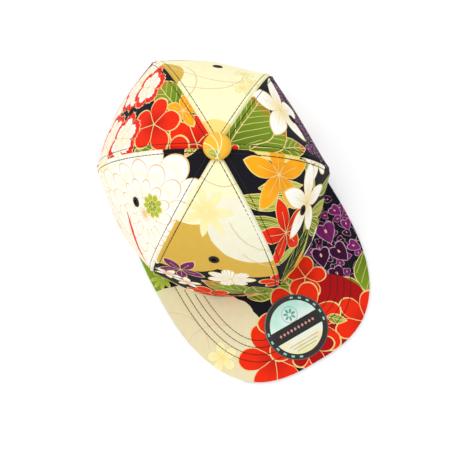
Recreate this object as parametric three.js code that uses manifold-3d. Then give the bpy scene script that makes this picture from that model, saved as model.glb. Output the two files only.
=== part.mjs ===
// A structured six-panel cap with a flat brim, a covered top button and a snap closure.
// Millimetres, +Z up. The rim and the underside of the brim stand on z = 0, the brim points
// to -Y and the wearer's left side is +X. Angles round the crown start at the brim and grow
// towards +X; the fall of a point is its polar angle, 0 at the top and 90 degrees at the rim.
import * as THREE from 'three';
import { mergeVertices } from 'three/addons/utils/BufferGeometryUtils.js';
import { ParametricGeometry } from 'three/addons/geometries/ParametricGeometry.js';
import Module from 'manifold-3d';

const wasm = await Module();
wasm.setup();

const { degToRad, lerp } = THREE.MathUtils;

// Driving dimensions.
const gap = 0.3;              // kept between neighbouring pieces

const crown = {
  halfWidth: 87,              // the rim is an oval
  halfLength: 103,
  height: 110,
  lean: -20,                  // the top stands this far ahead of the rim's centre
  rise: 2.4,                  // superellipse powers of the profile: its height,
  spreadBack: 2.26,           // its reach at the back
  spreadFront: 2.32,          // and its reach at the front
  crease: 0.95,               // 1 makes the panels straight between their seams near the top
  holeRadius: 2.8,            // at the top, for the button's shank
  foot: -5,                   // how far the cutters reach below the rim
  columns: 6,                 // facets across one panel
  rows: 11,                   // facets from the top to the rim
};
const seams = [0, 58.4, 119.7, 180, 240.3, 301.6, 360].map(degToRad);
const panelNames = [
  'front_left', 'side_left', 'back_left', 'back_right', 'side_right', 'front_right',
];

// Layers of the crown: how deep each lies behind the outer face.
const layers = {
  panel: [0, 0.9],
  buckram: [1.2, 1.9],
  archTape: [1.2, 1.8],
  seamTape: [2.2, 2.8],
  holeStrap: [2.1, 3.3],
  studStrap: [3.6, 4.8],
  interlining: [5.1, 6.0],
  sweatband: [6.3, 7.2],
  label: [7.5, 8.0],
};

const buckram = { inset: 3, bottom: 6, topRadius: 12 };
const seamTape = { width: 18, sideStart: 17.5, bottom: 1 };
const arch = { halfWidth: 42, height: 50, tapeWidth: 10 };
const sweatband = { bottom: 0.5, top: 33, endX: 46 };
const label = { angle: degToRad(142), width: 32, bottom: 9, top: 29 };

const strap = {
  bottom: 2,
  top: 20,
  hingeX: 40,                 // where each strap leaves its sewn tab
  tabEndX: 56,
  step: degToRad(4.8),        // between two studs, seen from the crown's axis
  engaged: 2,                 // studs to each side of the middle one that sit in a hole
  spare: 2,                   // studs, and holes, left over towards each strap's root
  tipSteps: 2.5,              // from the middle to each strap's free end
  studRadius: 2,
  holeRadius: 3.1,
  studTop: 2.4,               // depths of a stud's two ends
  studRoot: 5.2,
};

const brim = {
  halfWidth: 84,
  rootY: -50,                 // where the front curve starts
  reach: 121,                 // from there to the tip
  power: 2.83,                // superellipse power of the outline
  heelY: -30,                 // back end of the brim
  heelHalfWidth: 83.2,
  innerDepth: 2.5,            // the inner edge follows the rim, this deep behind its face
  cover: 0.6,
  board: [0.9, 2.9],
  upper: [3.2, 3.8],
  steps: 30,
};
const sticker = { radius: 25, thickness: 0.3, y: -140.5 };

const eyelet = { fall: degToRad(47), hole: 1.5, barrel: 2.1, flange: 3.5, lip: 0.5, clear: 0.45 };

const button = {
  radius: 8.2,
  skirt: 2.2,                 // straight part below the dome
  dome: 4.2,
  cover: 0.5,
  shell: 0.7,
  shankRadius: 1.6,
  backRadius: 6,
  backTop: 3.2,               // depths below the crown's top
  backBottom: 4,
  clinchRadius: 2.6,
  clinchBottom: 5.2,
};

const finishes = {
  print: new THREE.MeshStandardMaterial({ color: 0xb8452e, roughness: 0.85 }),
  darkThread: new THREE.MeshStandardMaterial({ color: 0x191512, roughness: 0.8 }),
  buckram: new THREE.MeshStandardMaterial({ color: 0xe6e2d6, roughness: 0.9 }),
  tape: new THREE.MeshStandardMaterial({ color: 0x1c1b1d, roughness: 0.9 }),
  sweatband: new THREE.MeshStandardMaterial({ color: 0x202022, roughness: 0.85 }),
  interlining: new THREE.MeshStandardMaterial({ color: 0xd8d4ca, roughness: 0.95 }),
  board: new THREE.MeshStandardMaterial({ color: 0xd9dde0, roughness: 0.5 }),
  snap: new THREE.MeshStandardMaterial({ color: 0x151515, roughness: 0.4 }),
  sticker: new THREE.MeshStandardMaterial({ color: 0xbfe6d2, roughness: 0.25, metalness: 0.6 }),
  label: new THREE.MeshStandardMaterial({ color: 0xf2f0ea, roughness: 0.8 }),
  metal: new THREE.MeshStandardMaterial({ color: 0xb9bcc0, roughness: 0.4, metalness: 1 }),
};

// Solids.

function solid(geometry) {
  geometry.deleteAttribute('normal');
  geometry.deleteAttribute('uv');
  const merged = mergeVertices(geometry);
  const corners = merged.index.array;
  const triangles = [];
  for (let i = 0; i < corners.length; i += 3) {
    const [a, b, c] = corners.slice(i, i + 3);
    if (a !== b && b !== c && c !== a) triangles.push(a, b, c);
  }
  return new wasm.Manifold(new wasm.Mesh({
    numProp: 3,
    vertProperties: merged.attributes.position.array,
    triVerts: new Uint32Array(triangles),
  }));
}

function mesh(name, shape, finish) {
  const { vertProperties, triVerts } = shape.getMesh();
  const geometry = new THREE.BufferGeometry();
  geometry.setAttribute('position', new THREE.BufferAttribute(vertProperties, 3));
  geometry.setIndex(new THREE.BufferAttribute(triVerts, 1));
  geometry.computeVertexNormals();
  const part = new THREE.Mesh(geometry, finish);
  part.name = name;
  return part;
}

function box(low, high) {
  const size = high.map((value, axis) => value - low[axis]);
  const centre = high.map((value, axis) => (value + low[axis]) / 2);
  return solid(new THREE.BoxGeometry(...size).translate(...centre));
}

function prism(shape, bottom, top, matrix = new THREE.Matrix4()) {
  const geometry = new THREE.ExtrudeGeometry(shape, {
    depth: top - bottom, bevelEnabled: false, curveSegments: 20,
  });
  return solid(geometry.translate(0, 0, bottom).applyMatrix4(matrix));
}

// A solid of revolution about +Z through a ring or disc profile of [radius, height] points.
function turned(profile, segments, matrix = new THREE.Matrix4()) {
  const points = profile.map(([radius, height]) => new THREE.Vector2(radius, height));
  const geometry = new THREE.LatheGeometry(points, segments);
  return solid(geometry.rotateX(Math.PI / 2).applyMatrix4(matrix));
}

// The crown's surface.

function ovalRadius(angle) {
  return 1 / Math.hypot(Math.sin(angle) / crown.halfWidth, Math.cos(angle) / crown.halfLength);
}

// 1 at a seam and least in the middle of a panel, as on a hexagon.
function facetRatio(angle) {
  const panel = seams.findIndex((seam, i) => angle >= seam && angle <= seams[i + 1]);
  const across = (angle - seams[panel]) / (seams[panel + 1] - seams[panel]);
  return Math.cos(Math.PI / 6) / Math.cos((across - 0.5) * Math.PI / 3);
}

// The point `depth` behind the outer face, measured along the normal of the uncreased dome.
function crownPoint(angle, fall, depth, target = new THREE.Vector3()) {
  const spread = lerp(crown.spreadBack, crown.spreadFront, (1 + Math.cos(angle)) / 2);
  const reach = Math.sin(fall) ** (2 / spread);
  const rise = Math.max(Math.cos(fall), 0) ** (2 / crown.rise);
  const fade = fall < Math.PI / 4 ? 1 : Math.sin(2 * fall);
  const crease = 1 - crown.crease * Math.max(fade, 0) * (1 - facetRatio(angle));
  const radius = ovalRadius(angle) * reach * crease;
  const outward = new THREE.Vector3(
    Math.sin(angle) / crown.halfWidth ** 2, -Math.cos(angle) / crown.halfLength ** 2, 0,
  ).setLength(spread / ovalRadius(angle) * Math.sin(fall) ** (2 - 2 / spread));
  outward.z = crown.rise / crown.height * Math.max(Math.cos(fall), 0) ** (2 - 2 / crown.rise);
  const height = crown.height * rise;
  return target.set(radius * Math.sin(angle), -radius * Math.cos(angle), height)
    .addScaledVector(outward.normalize(), -depth)
    .add(new THREE.Vector3(0, crown.lean * rise, 0));
}

// The crown filled up to one depth behind its face, standing on a foot below the rim.
function crownDome(depth) {
  const { columns, rows, foot } = crown;
  const panels = seams.length - 1;
  const place = (u, v, target) => {
    const column = Math.round(u * columns * panels);
    const panel = Math.min(Math.floor(column / columns), panels - 1);
    const angle = lerp(seams[panel], seams[panel + 1], column / columns - panel);
    const row = Math.round(v * (rows + 2)) - 2;
    crownPoint(angle, lerp(Math.PI / 2, 0, Math.max(row, 0) / rows), depth, target);
    if (row < 0) target.z = foot;
    if (row < -1) target.set(0, 0, foot);
  };
  return solid(new ParametricGeometry(place, columns * panels, rows + 2));
}

// A shell over the whole crown between two depths, with the hole for the button's shank.
function crownLayer([outer, inner]) {
  return crownDome(outer).subtract(crownDome(inner)).subtract(shankHole)
    .intersect(between(0, crown.height));
}

// Cutters lean with the crown, so a seam's plane stays a plane.
const leaning = new THREE.Matrix4().makeShear(0, 0, 0, 0, 0, crown.lean / crown.height);

function heading(angle) {
  return new THREE.Vector2(Math.sin(angle), -Math.cos(angle));
}

// The wedge of one panel, held back from both of its seams.
function wedge(panel, setback) {
  const [from, to] = [seams[panel], seams[panel + 1]];
  const far = 300;
  const tip = heading((from + to) / 2).multiplyScalar(setback / Math.sin((to - from) / 2));
  const corners = [tip, ...[from, to].map((angle) => heading(angle).multiplyScalar(far).add(tip))];
  return prism(new THREE.Shape(corners), -10, crown.height + 10, leaning);
}

// An upright slab centred on one direction from the crown's axis.
function slab(angle, width, start, end) {
  const plan = new THREE.BoxGeometry(width, end - start, crown.height + 20);
  plan.translate(0, -(start + end) / 2, crown.height / 2).rotateZ(angle);
  return solid(plan.applyMatrix4(leaning));
}

function between(bottom, top) {
  return box([-150, -200, bottom], [150, 150, top]);
}

// A frame on the crown's face with +Z pointing out of it.
function surfaceFrame(angle, fall) {
  const nudge = 0.01;
  const along = crownPoint(angle + nudge, fall, 0).sub(crownPoint(angle - nudge, fall, 0));
  const down = crownPoint(angle, fall + nudge, 0).sub(crownPoint(angle, fall - nudge, 0));
  const out = down.cross(along).normalize();
  along.normalize();
  const up = new THREE.Vector3().crossVectors(out, along);
  return new THREE.Matrix4().makeBasis(along, up, out)
    .setPosition(crownPoint(angle, fall, 0));
}

// Shared cutters.

function archCutter(margin) {
  const halfWidth = arch.halfWidth + margin;
  const spring = arch.height - arch.halfWidth;
  const outline = new THREE.Shape()
    .moveTo(-halfWidth, -5)
    .lineTo(-halfWidth, spring)
    .absarc(0, spring, halfWidth, Math.PI, 0, true)
    .lineTo(halfWidth, -5);
  return prism(outline, -150, 0, new THREE.Matrix4().makeRotationX(Math.PI / 2));
}

// A round, upright cutter through the top of the crown.
function topDrill(radius) {
  const atTop = new THREE.Matrix4().makeTranslation(0, crown.lean, 0);
  return turned([[0, 50], [radius, 50], [radius, 150], [0, 150]], 12, atTop);
}

const backArch = archCutter(0);
const shankHole = topDrill(crown.holeRadius);
const brimSeat = box([-150, -200, -5], [150, brim.heelY + gap, brim.upper[1] + gap]);

function panelCentre(panel) {
  return (seams[panel] + seams[panel + 1]) / 2;
}

function eyeletDrill(panel) {
  const radius = eyelet.barrel + gap;
  const frame = surfaceFrame(panelCentre(panel), eyelet.fall);
  return turned([[0, -8], [radius, -8], [radius, 8], [0, 8]], 10, frame);
}

// Crown pieces.

function makePanels() {
  const shell = crownLayer(layers.panel).subtract(backArch).subtract(brimSeat);
  return panelNames.map((side, panel) => mesh(
    `${side}_panel`,
    shell.intersect(wedge(panel, gap / 2)).subtract(eyeletDrill(panel)),
    finishes.print,
  ));
}

function makeBuckram() {
  const shell = crownLayer(layers.buckram).subtract(topDrill(buckram.topRadius))
    .intersect(between(buckram.bottom, crown.height));
  return [0, panelNames.length - 1].map((panel) => mesh(
    `${panelNames[panel]}_buckram`,
    shell.intersect(wedge(panel, buckram.inset)).subtract(eyeletDrill(panel)),
    finishes.buckram,
  ));
}

// One tape runs from front to back over the top, and four stop beside it.
function makeSeamTapes() {
  const shell = crownLayer(layers.seamTape).subtract(backArch).subtract(brimSeat)
    .intersect(between(seamTape.bottom, crown.height));
  const centre = shell.intersect(slab(0, seamTape.width, -200, 200));
  const sideSeams = { front_left: 1, back_left: 2, back_right: 4, front_right: 5 };
  const sides = Object.entries(sideSeams).map(([side, seam]) => mesh(
    `${side}_seam_tape`,
    shell.intersect(slab(seams[seam], seamTape.width, seamTape.sideStart, 200)),
    finishes.tape,
  ));
  return [mesh('centre_seam_tape', centre, finishes.tape), ...sides];
}

function makeArchTape() {
  const band = crownLayer(layers.archTape).subtract(backArch)
    .intersect(archCutter(arch.tapeWidth)).intersect(between(seamTape.bottom, crown.height));
  return mesh('arch_tape', band, finishes.tape);
}

function makeSweatband() {
  const backGap = box([-sweatband.endX, 0, -5], [sweatband.endX, 150, sweatband.top + 5]);
  const height = between(sweatband.bottom, sweatband.top);
  const band = (depths) => crownLayer(depths).intersect(height).subtract(backGap);
  const tag = crownLayer(layers.label)
    .intersect(slab(label.angle, label.width, 0, 200))
    .intersect(between(label.bottom, label.top));
  return [
    mesh('sweatband_interlining', band(layers.interlining), finishes.interlining),
    mesh('sweatband', band(layers.sweatband), finishes.sweatband),
    mesh('care_label', tag, finishes.label),
  ];
}

// A dark ring worked through each panel, and through the buckram of the front ones.
function makeEyelets() {
  return panelNames.map((side, panel) => {
    const stack = side.startsWith('front') ? layers.buckram[1] : layers.panel[1];
    const outer = eyelet.clear;
    const inner = -stack - eyelet.clear;
    const ring = turned([
      [eyelet.hole, inner - eyelet.lip],
      [eyelet.flange, inner - eyelet.lip],
      [eyelet.flange, inner],
      [eyelet.barrel, inner],
      [eyelet.barrel, outer],
      [eyelet.flange, outer],
      [eyelet.flange, outer + eyelet.lip],
      [eyelet.hole, outer + eyelet.lip],
      [eyelet.hole, inner - eyelet.lip],
    ], 10, surfaceFrame(panelCentre(panel), eyelet.fall));
    return mesh(`${side}_eyelet`, ring, finishes.darkThread);
  });
}

// Top button.

// Half of the section of a domed cap with an open underside.
function domeProfile(inset, wall) {
  const arc = (shrink) => {
    const points = [[button.radius - shrink, gap + shrink]];
    const steps = 4;
    for (let step = steps; step >= 0; step -= 1) {
      const polar = step / steps * Math.PI / 2;
      points.push([
        (button.radius - shrink) * Math.sin(polar),
        gap + button.skirt + (button.dome - shrink) * Math.cos(polar),
      ]);
    }
    return points;
  };
  const inner = arc(inset + wall).reverse();
  inner[inner.length - 1][1] = gap + inset;
  return [...inner, ...arc(inset)];
}

function makeButton() {
  const atTop = new THREE.Matrix4().makeTranslation(0, crown.lean, crown.height);
  const cover = turned(domeProfile(0, button.cover), 18, atTop);
  const shellInset = button.cover + gap;
  const shell = turned(domeProfile(shellInset, button.shell), 18, atTop);
  const underDome = gap + button.skirt + button.dome - shellInset - button.shell / 2;
  const shank = turned([
    [0, -button.clinchBottom],
    [button.clinchRadius, -button.clinchBottom],
    [button.clinchRadius, -button.backBottom - gap],
    [button.shankRadius, -button.backBottom - gap],
    [button.shankRadius, underDome],
    [0, underDome],
  ], 10, atTop);
  const back = turned([
    [button.shankRadius + gap, -button.backBottom],
    [button.backRadius, -button.backBottom],
    [button.backRadius, -button.backTop],
    [button.shankRadius + gap, -button.backTop],
    [button.shankRadius + gap, -button.backBottom],
  ], 16, atTop);
  return [
    mesh('button_cover', cover, finishes.print),
    mesh('button_shell', shell.add(shank), finishes.metal),
    mesh('button_back', back, finishes.metal),
  ];
}

// Snap closure: two straps sewn beside the arch, which overlap behind it.

function strapStud(index, radius, from, to) {
  const middle = (strap.bottom + strap.top) / 2;
  const fall = Math.acos((middle / crown.height) ** (crown.rise / 2));
  const frame = surfaceFrame(Math.PI - index * strap.step, fall);
  return turned([[0, -to], [radius, -to], [radius, -from], [0, -from]], 8, frame);
}

function strapPiece(depths, fromX, toX) {
  const low = Math.min(fromX, toX);
  const high = Math.max(fromX, toX);
  return crownLayer(depths).intersect(box([low, 0, strap.bottom], [high, 150, strap.top]));
}

function makeStraps() {
  const rearReach = crown.halfLength * Math.sin(strap.tipSteps * strap.step);
  const strapStart = strap.hingeX - gap / 2;
  const tabStart = strap.hingeX + gap / 2;
  let holed = strapPiece(layers.holeStrap, -rearReach, strapStart);
  let studded = strapPiece(layers.studStrap, -strapStart, rearReach);
  for (let index = -strap.engaged; index <= strap.engaged + strap.spare; index += 1) {
    holed = holed.subtract(strapStud(index, strap.holeRadius, 0, 8));
    studded = studded.add(strapStud(-index, strap.studRadius, strap.studTop, strap.studRoot));
  }
  return [
    mesh('hole_strap', holed, finishes.snap),
    mesh('hole_strap_tab', strapPiece(layers.holeStrap, tabStart, strap.tabEndX), finishes.snap),
    mesh('stud_strap', studded, finishes.snap),
    mesh('stud_strap_tab', strapPiece(layers.studStrap, -tabStart, -strap.tabEndX), finishes.snap),
  ];
}

// Brim.

function brimOutline(inset) {
  const points = [];
  for (let step = 0; step <= brim.steps; step += 1) {
    const angle = lerp(-Math.PI / 2, Math.PI / 2, step / brim.steps);
    const side = Math.sin(angle);
    const across = Math.sign(side) * Math.abs(side) ** (2 / brim.power);
    const ahead = Math.max(Math.cos(angle), 0) ** (2 / brim.power);
    points.push(new THREE.Vector2(
      (brim.halfWidth - inset) * across,
      brim.rootY - (brim.reach - inset) * ahead,
    ));
  }
  const heel = brim.heelHalfWidth - inset;
  return new THREE.Shape([
    new THREE.Vector2(-heel, brim.heelY), ...points, new THREE.Vector2(heel, brim.heelY),
  ]);
}

function brimPlate(inset, bottom, top) {
  const head = new THREE.Shape().absellipse(
    0, 0, crown.halfWidth - brim.innerDepth, crown.halfLength - brim.innerDepth,
    0, 2 * Math.PI, false,
  );
  return prism(brimOutline(inset), bottom, top).subtract(prism(head, -5, 10));
}

// The covers turn over the board's edge and meet at half its height.
function brimCover([bottom, top], edgeBottom, edgeTop) {
  const edge = brimPlate(0, edgeBottom, edgeTop)
    .subtract(prism(brimOutline(brim.cover), -5, 10));
  return brimPlate(0, bottom, top).add(edge);
}

function makeBrim() {
  const [lowerTop, upperTop] = [brim.cover, brim.upper[1]];
  const seam = upperTop / 2;
  const boardInset = brim.cover + gap;
  const disc = turned([
    [0, upperTop + gap],
    [sticker.radius, upperTop + gap],
    [sticker.radius, upperTop + gap + sticker.thickness],
    [0, upperTop + gap + sticker.thickness],
  ], 32, new THREE.Matrix4().makeTranslation(0, sticker.y, 0));
  return [
    mesh('brim_lower_cover', brimCover([0, lowerTop], 0, seam - gap / 2), finishes.print),
    mesh('brim_board', brimPlate(boardInset, ...brim.board), finishes.board),
    mesh('brim_upper_cover', brimCover(brim.upper, seam + gap / 2, upperTop), finishes.print),
    mesh('brim_sticker', disc, finishes.sticker),
  ];
}

const cap = new THREE.Group();
cap.add(
  ...makePanels(), ...makeBuckram(), ...makeSeamTapes(), makeArchTape(), ...makeSweatband(),
  ...makeEyelets(), ...makeButton(), ...makeStraps(), ...makeBrim(),
);

// The origin is under the middle of the cap's box.
cap.position.y = -new THREE.Box3().setFromObject(cap).getCenter(new THREE.Vector3()).y;

export default cap;
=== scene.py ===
from math import atan2, cos, hypot, pi, radians, sin

import bpy
import numpy as np
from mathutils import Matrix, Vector


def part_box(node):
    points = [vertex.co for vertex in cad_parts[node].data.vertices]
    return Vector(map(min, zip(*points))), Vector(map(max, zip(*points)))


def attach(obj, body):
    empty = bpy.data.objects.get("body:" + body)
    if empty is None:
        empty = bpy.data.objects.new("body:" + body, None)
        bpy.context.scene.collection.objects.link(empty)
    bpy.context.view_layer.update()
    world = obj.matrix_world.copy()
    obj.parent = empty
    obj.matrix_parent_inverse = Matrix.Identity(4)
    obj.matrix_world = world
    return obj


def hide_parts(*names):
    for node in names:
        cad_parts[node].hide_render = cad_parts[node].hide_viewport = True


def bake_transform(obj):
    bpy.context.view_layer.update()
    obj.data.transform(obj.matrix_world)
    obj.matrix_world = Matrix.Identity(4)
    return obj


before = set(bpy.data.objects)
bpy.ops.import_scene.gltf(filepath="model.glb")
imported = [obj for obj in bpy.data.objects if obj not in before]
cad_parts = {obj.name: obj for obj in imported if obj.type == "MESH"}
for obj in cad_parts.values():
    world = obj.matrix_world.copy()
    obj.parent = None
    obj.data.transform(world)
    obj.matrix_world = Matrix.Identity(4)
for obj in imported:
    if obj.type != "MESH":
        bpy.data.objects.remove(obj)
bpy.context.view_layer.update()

mm = 0.001
print("frame loaded:", len(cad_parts), "nodes")


# Shader maths: a Wire is one socket, and arithmetic on wires adds nodes.
class Wire:
    def __init__(self, tree, socket=None):
        self.tree = tree
        self.socket = socket

    def node(self, kind, settings=None, sockets=None, out=0):
        made = self.tree.nodes.new(kind)
        for name, value in (settings or {}).items():
            if name == "stops":
                ramp = made.color_ramp.elements
                while len(ramp) < len(value):
                    ramp.new(0.5)
                for stop, (place, colour) in zip(ramp, value):
                    stop.position = place
                    stop.color = colour
            else:
                setattr(made, name, value)
        for key, value in (sockets or {}).items():
            if isinstance(value, Wire):
                self.tree.links.new(value.socket, made.inputs[key])
            else:
                made.inputs[key].default_value = value
        return Wire(self.tree, made.outputs[out])

    def maths(self, operation, *values):
        return self.node("ShaderNodeMath", {"operation": operation}, dict(enumerate(values)))

    def __add__(self, other):
        return self.maths("ADD", self, other)

    def __radd__(self, other):
        return self.maths("ADD", other, self)

    def __sub__(self, other):
        return self.maths("SUBTRACT", self, other)

    def __rsub__(self, other):
        return self.maths("SUBTRACT", other, self)

    def __mul__(self, other):
        return self.maths("MULTIPLY", self, other)

    def __rmul__(self, other):
        return self.maths("MULTIPLY", other, self)

    def __truediv__(self, other):
        return self.maths("DIVIDE", self, other)

    def __pow__(self, other):
        return self.maths("POWER", self, other)

    def __lt__(self, other):
        return self.maths("LESS_THAN", self, other)

    def __gt__(self, other):
        return self.maths("GREATER_THAN", self, other)

    def __abs__(self):
        return self.maths("ABSOLUTE", self)

    def both(self, other):
        return self.maths("MINIMUM", self, other)

    def either(self, other):
        return self.maths("MAXIMUM", self, other)

    def cosine(self):
        return self.maths("COSINE", self)

    def sine(self):
        return self.maths("SINE", self)

    def floor(self):
        return self.maths("FLOOR", self)

    def fract(self):
        return self.maths("FRACT", self)

    def held(self):      # kept between 0 and 1
        return self.node("ShaderNodeClamp", None, {"Value": self})

    def parts(self):
        split = self.node("ShaderNodeSeparateXYZ", None, {"Vector": self})
        return split, Wire(self.tree, split.socket.node.outputs[1])

    def less(self, other):      # one vector less another
        return self.node("ShaderNodeVectorMath", {"operation": "SUBTRACT"}, {0: self, 1: other})

    def length(self):
        return self.node("ShaderNodeVectorMath", {"operation": "LENGTH"}, {0: self}, 1)

    def mix(self, other, amount):      # from this colour to the other
        return self.node("ShaderNodeMix", {"data_type": "RGBA"},
                         {"Factor": amount, 6: self, 7: other}, 2)


def ink(code):
    shares = [int(code[i:i + 2], 16) / 255 for i in (0, 2, 4)]
    return (*[c / 12.92 if c <= 0.04045 else ((c + 0.055) / 1.055) ** 2.4 for c in shares], 1)


# sand is a darker cream, used only on the upper brim
inks = {name: ink(code) for name, code in {
    "ivory": "f4efc2", "paleIvory": "ece9cf", "cream": "ece4b8", "sand": "e3d8b0", "white": "fbf9ee",
    "ghost": "f1e8ae", "gold": "d6ae48", "paleGold": "f3d980", "brownGold": "b5701c", "button": "f0b93a",
    "black": "14141b", "red": "e82a0c", "deepRed": "a80d10", "orange": "f7a81a", "amber": "e08a12",
    "green": "7f9a22", "deepGreen": "3c5a12", "lime": "a9ba34", "rust": "c2571a", "brown": "6e2c0c",
    "purple": "7a1f66", "deepPurple": "3a0b31", "pink": "e9b7a8", "line": "e6cf86",
    "softLine": "e0c79a", "violetLine": "c9a3b8", "mumLine": "e6c38c", "tape": "1a191c",
}.items()}


# A new material, a bench wire that makes its first nodes, and its shader.
def newShade(name):
    material = bpy.data.materials.new(name)
    material.use_nodes = True
    return material, Wire(material.node_tree), material.node_tree.nodes["Principled BSDF"]


def objectPlace(bench):
    return bench.node("ShaderNodeTexCoord", out="Object")


def clothPlace(bench):      # the piece's own flat pattern, in millimetres
    flat = bench.node("ShaderNodeUVMap", out="UV")
    return flat.node("ShaderNodeVectorMath", {"operation": "SCALE"}, {0: flat, "Scale": 100.0})


def plainInk(bench, colour):
    made = bench.node("ShaderNodeRGB")
    made.socket.default_value = colour
    return made


def clouds(place, scale, detail):
    return place.node("ShaderNodeTexNoise", None, {"Vector": place, "Scale": scale, "Detail": detail})


def feed(surface, sockets):      # a wire is linked to its socket, and a plain value is set on it
    for name, value in sockets.items():
        if isinstance(value, Wire):
            value.tree.links.new(value.socket, surface.inputs[name])
        else:
            surface.inputs[name].default_value = value


def bumped(surface, height, distance):
    feed(surface, {"Normal": height.node("ShaderNodeBump", None, {
        "Height": height, "Distance": distance, "Strength": 1.0})})


weaving = {
    "pitch": 0.55, "coarsePitch": 1.0, "mottle": 0.22, "dirt": 0.12, "valleyShade": 0.025,
    "roughness": 0.86, "sheen": 0.02, "gloss": 0.12, "fineBump": 0.06 * mm, "coarseBump": 0.15 * mm,
}


def twill(place, pitch):      # ribs that run up to the right, with the threads across them
    x, y = place.parts()
    ribs = ((x + y) * (2 * pi / pitch)).sine()
    threads = ((x - y) * (pi / pitch)).sine()
    return ribs * 0.6 + ribs * threads * 0.4


def finishCloth(surface, colour, place, pitch=weaving["pitch"], roughness=weaving["roughness"],
                sheen=weaving["sheen"]):
    mottle = clouds(place, weaving["mottle"], 3.0)
    weave = twill(place, pitch)
    # a random mottle of dirt, and painted shade in the valleys of the twill where the weave bump dips
    mottleAndValleyShade = (0.5 - mottle) * weaving["dirt"] + (1 - weave) * weaving["valleyShade"]
    feed(surface, {
        "Base Color": colour.mix((0, 0, 0, 1), mottleAndValleyShade), "Roughness": mottle * 0.12 + (roughness - 0.06),
        "Sheen Weight": sheen, "Specular IOR Level": weaving["gloss"]})
    distance = weaving["fineBump"] if pitch < weaving["coarsePitch"] else weaving["coarseBump"]
    bumped(surface, weave * 0.35 + mottle * 1.2, distance)


# Motifs of the print: each lays its own colours over the cloth's and gives the new colour back.
# Places and sizes are in millimetres on the flat piece. `width` is half the width of the lines, or
# on a leaf its breadth as a share of its length.
def placed(place, at, size, turn=0.0, squash=1.0):
    return place.node("ShaderNodeMapping", {"vector_type": "TEXTURE"}, {
        "Vector": place, "Location": (at[0], at[1], 0), "Rotation": (0, 0, radians(turn)),
        "Scale": (size, size * squash, 1)})


def disc(cloth, place, at, size, fill, line=None, width=0.5, squash=1.0):
    reach = placed(place, at, size, 0.0, squash).length()
    cloth = cloth.mix(inks[fill], reach < 1)
    if line:
        cloth = cloth.mix(inks[line], abs(reach - 1) < width / size)
    return cloth


def arc(cloth, place, at, size, turn=0.0, span=0.3, line="softLine", width=0.35):
    near = placed(place, at, size, turn)
    x, y = near.parts()
    drawn = (abs(near.length() - 1) < width / size).both(x > 1 - span)
    return cloth.mix(inks[line], drawn)


def flower(cloth, place, at, size, fill, deep, petals=5, inner=0.3, sharp=0.7, turn=0.0, squash=1.0,
           line="line", width=0.5, point=0.0, ripple=0.0, rim=0.0, hatch=0.0):
    near = placed(place, at, size, turn, squash)
    x, y = near.parts()
    reach = near.length()
    angle = x.maths("ARCTAN2", y, x)
    lobes = abs((angle * (petals / 2)).cosine())
    shape = lobes ** sharp
    if point:      # pointed petals, each with a line along its middle
        shape = shape * (1 - point) + (1 - abs((angle * (petals / 2)).sine())) * point
    edge = shape * (1 - inner) + inner
    if ripple:
        edge = edge - abs((angle * petals * 2.5).sine()) * ripple
    inside = edge > reach
    colour = cloth.mix(inks[fill], inside)
    colour = colour.mix(inks[deep], inside.both((1 - reach * 1.7).held() * 0.8))
    if hatch:
        strokes = ((angle * hatch).sine() > 0.6).both(reach > 0.3).both(edge - rim * 1.4 > reach)
        colour = colour.mix(inks["softLine"], strokes)
    if point:
        middles = abs((angle * (petals / 2)).sine()) * reach < width * petals * 0.12 / size
        colour = colour.mix(inks[line], middles.both(reach < 0.62).both(inside))
    if rim:
        colour = colour.mix(inks["red"], (edge - rim < reach).both(inside))
    gaps = (lobes * reach < width * petals * 0.22 / size).both(inside)
    outline = (abs(edge - reach) < width / size).either(gaps)
    return colour.mix(inks[line], outline)


def mum(cloth, place, at, size, petals=16, rings=6, turn=0.0, fill="white", width=0.55, squash=1.0):
    near = placed(place, at, size, turn, squash)
    x, y = near.parts()
    reach = near.length()
    ring = reach * rings
    whole = ring.floor()
    lobes = abs((x.maths("ARCTAN2", y, x) * (petals / 2) + whole * (pi / 2)).cosine())
    tip = lobes ** 0.6 * 0.72 + 0.2
    part = ring - whole
    body = ring - tip < rings - 1
    colour = cloth.mix(inks[fill], body)
    colour = colour.mix(inks["cream"], ((tip - part).held() * 0.55).both(body))
    seam = (lobes * reach < width * petals * 0.25 / size).both(tip > part)
    outline = (abs(part - tip) < width * rings / size).either(seam)
    return colour.mix(inks["mumLine"], outline.both(ring - tip < rings - 0.9))


def leaf(cloth, place, at, size, turn, width=0.35, fill="green", tip=None, line="line", veins=3.0,
         stroke=0.4, along=False, deep="deepGreen"):
    near = placed(place, at, size, turn)
    x, y = near.parts()
    side = abs(y)
    within = x * x < 1
    half = (1 - x * x) * width * (1 - x * 0.3)
    inside = (half > side).both(within)
    colour = cloth.mix(inks[fill], inside)
    colour = colour.mix(inks[deep], ((x * -0.6 + 0.3).held() * 0.8).both(inside))
    if tip:
        colour = colour.mix(inks[tip], (x * 1.9 - 0.55).held().both(inside))
    thin = stroke * 0.7 / size
    if along:      # veins from end to end, as on a blade of grass
        drawn = abs((side * 2.2 / (half + 0.01)).fract() - 0.5) < 0.09
    else:
        drawn = abs((x * veins - side * veins * 1.3).fract() - 0.5) < veins * thin
        drawn = drawn.both(side < half * 0.86)
    drawn = drawn.either(side < thin)
    outline = abs(half - side) < stroke / size
    return colour.mix(inks[line], drawn.both(inside).either(outline.both(within)))


def petalHeart(cloth, near, where, fill):
    x, y = near.parts()
    lifted = y + abs(x) ** 0.8 * 0.75 - 0.3
    reach = x * x + lifted * lifted
    colour = cloth.mix(inks["violetLine"], (1.22 > reach).both(where))
    colour = colour.mix(inks[fill], (1 > reach).both(where))
    return colour.mix(inks["pink"], (0.16 > x * x * 9 + (y + 0.15) * (y + 0.15) * 3).both(where))


def heart(cloth, place, at, size, turn=0.0, fill="deepPurple"):
    return petalHeart(cloth, placed(place, at, size * 0.62, turn), 1.0, fill)


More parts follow.
